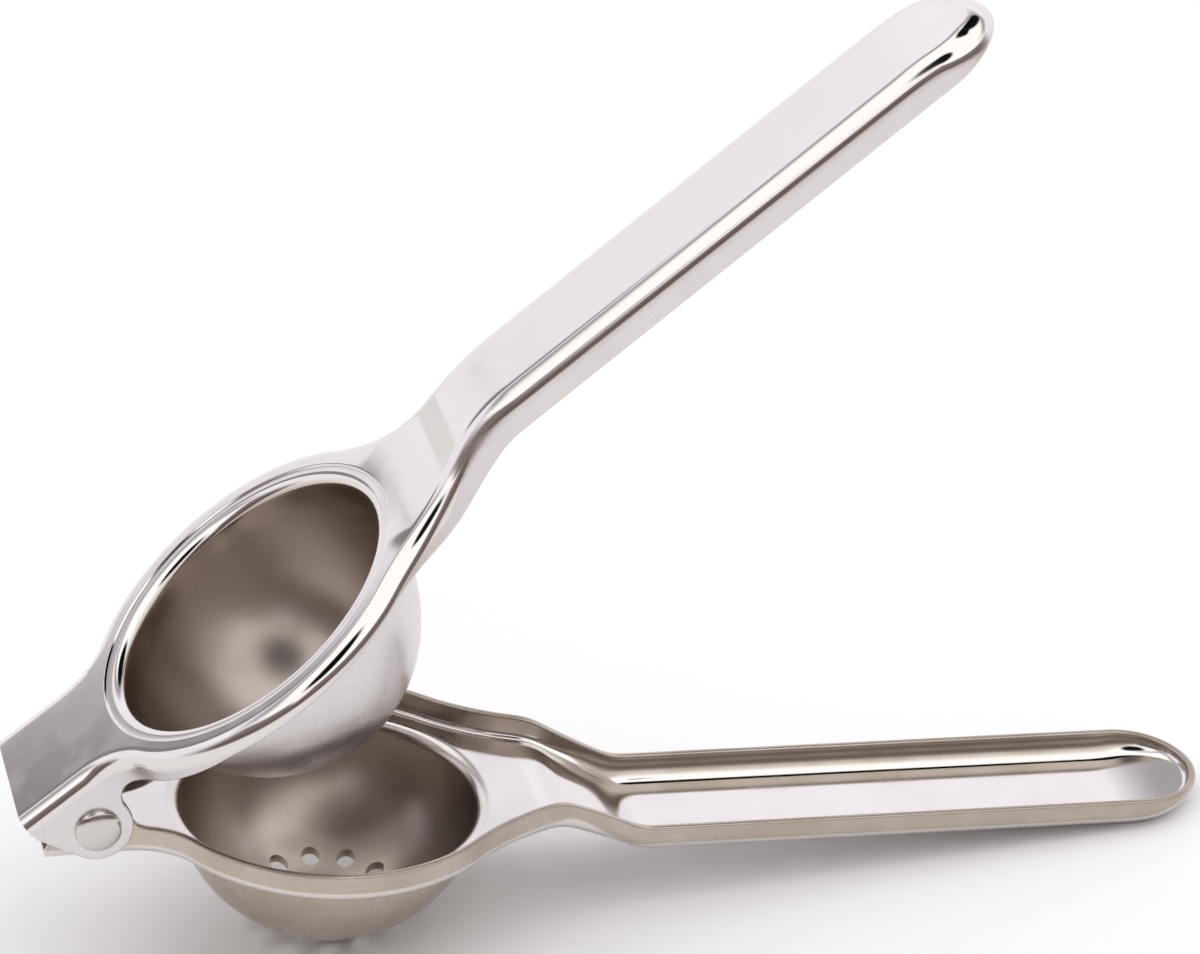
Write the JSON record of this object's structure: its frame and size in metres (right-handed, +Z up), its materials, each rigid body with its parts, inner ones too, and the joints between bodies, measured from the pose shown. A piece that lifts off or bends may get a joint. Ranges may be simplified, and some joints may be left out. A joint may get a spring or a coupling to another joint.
{
  "type": "citrus press juicer",
  "caption": "Hand lemon squeezer of pressed steel: a hinged press cup over a strainer bowl, each on its own channel handle.",
  "frame": {"origin": "under the middle of the overall box, on the surface that the squeezer lies on", "axes": "+X from the hinge towards the ends of the handles, +Y along the hinge pin, +Z up"},
  "size_m": [0.2206, 0.0712, 0.1668],
  "materials": {
    "polished_steel": "mirror polished stainless sheet",
    "pin_steel": "polished stainless pin"
  },
  "bodies": {
    "strainer": {"strainer_half": "polished_steel"},
    "press": {"press_half": "polished_steel", "hinge_pin": "pin_steel"}
  },
  "joints": [
    {"name": "squeeze_hinge", "type": "hinge", "parent": "strainer", "child": "press", "pos_m": [-0.09681, 0, 0.03521], "axis": [0, -1, 0], "range_deg": [-42.5, 40]}
  ]
}
